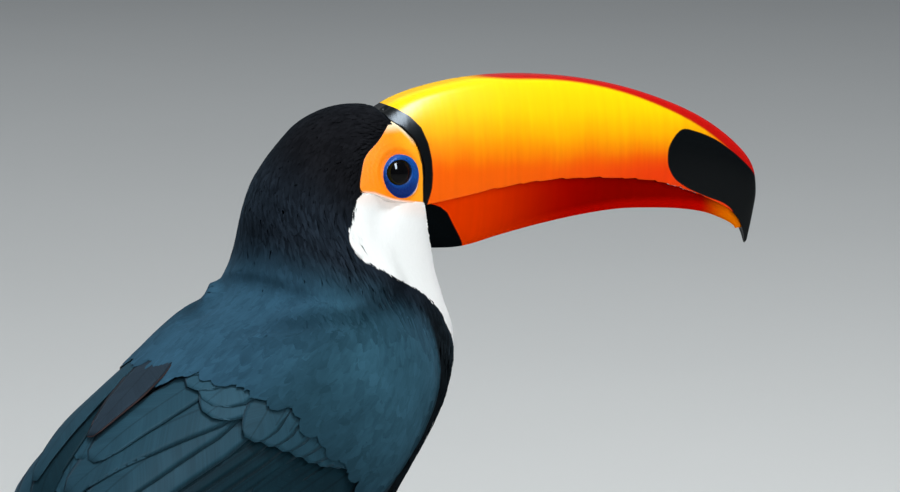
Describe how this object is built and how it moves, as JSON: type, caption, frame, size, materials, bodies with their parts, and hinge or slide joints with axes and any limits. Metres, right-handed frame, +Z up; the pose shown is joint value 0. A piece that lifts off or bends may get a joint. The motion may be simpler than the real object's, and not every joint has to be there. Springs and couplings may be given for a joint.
{
  "type": "toco toucan",
  "caption": "Life-size still model of a toco toucan with its head turned, folded wings and hanging tail, gripping a short cut branch on a plain display stand.",
  "frame": {"origin": "centre of the display stand's underside", "axes": "+X the way the bird's body faces, +Y the bird's left, +Z up; the head is turned to the bird's right, towards -Y"},
  "size_m": [0.4754, 0.1945, 0.3383],
  "materials": {
    "black_plumage": "soft black feathers with a slate-blue sheen",
    "bill": "glossy horn, yellow above and orange below, with a black tip",
    "lower_bill": "glossy horn, orange at the base and deep red towards the tip",
    "eye": "wet dark eye",
    "leg_skin": "blue-grey scaly skin",
    "claw": "dark horn",
    "bark": "rough brown bark, pale wood at the cut ends",
    "stand": "satin dark paint"
  },
  "bodies": {
    "root": {"bill_lower": "lower_bill", "bill_upper": "bill", "claw_left_inner_back": "claw", "claw_left_inner_front": "claw", "claw_left_outer_back": "claw", "claw_left_outer_front": "claw", "claw_right_inner_back": "claw", "claw_right_inner_front": "claw", "claw_right_outer_back": "claw", "claw_right_outer_front": "claw", "eye_left": "eye", "eye_right": "eye", "foot_left": "leg_skin", "foot_right": "leg_skin", "head": "black_plumage", "neck": "black_plumage", "stand_base": "stand", "stand_perch": "bark", "stand_rod_left": "stand", "stand_rod_right": "stand", "tail": "black_plumage", "tarsus_left": "leg_skin", "tarsus_right": "leg_skin", "thigh_left": "black_plumage", "thigh_right": "black_plumage", "torso": "black_plumage", "wing_left": "black_plumage", "wing_right": "black_plumage"}
  },
  "joints": []
}
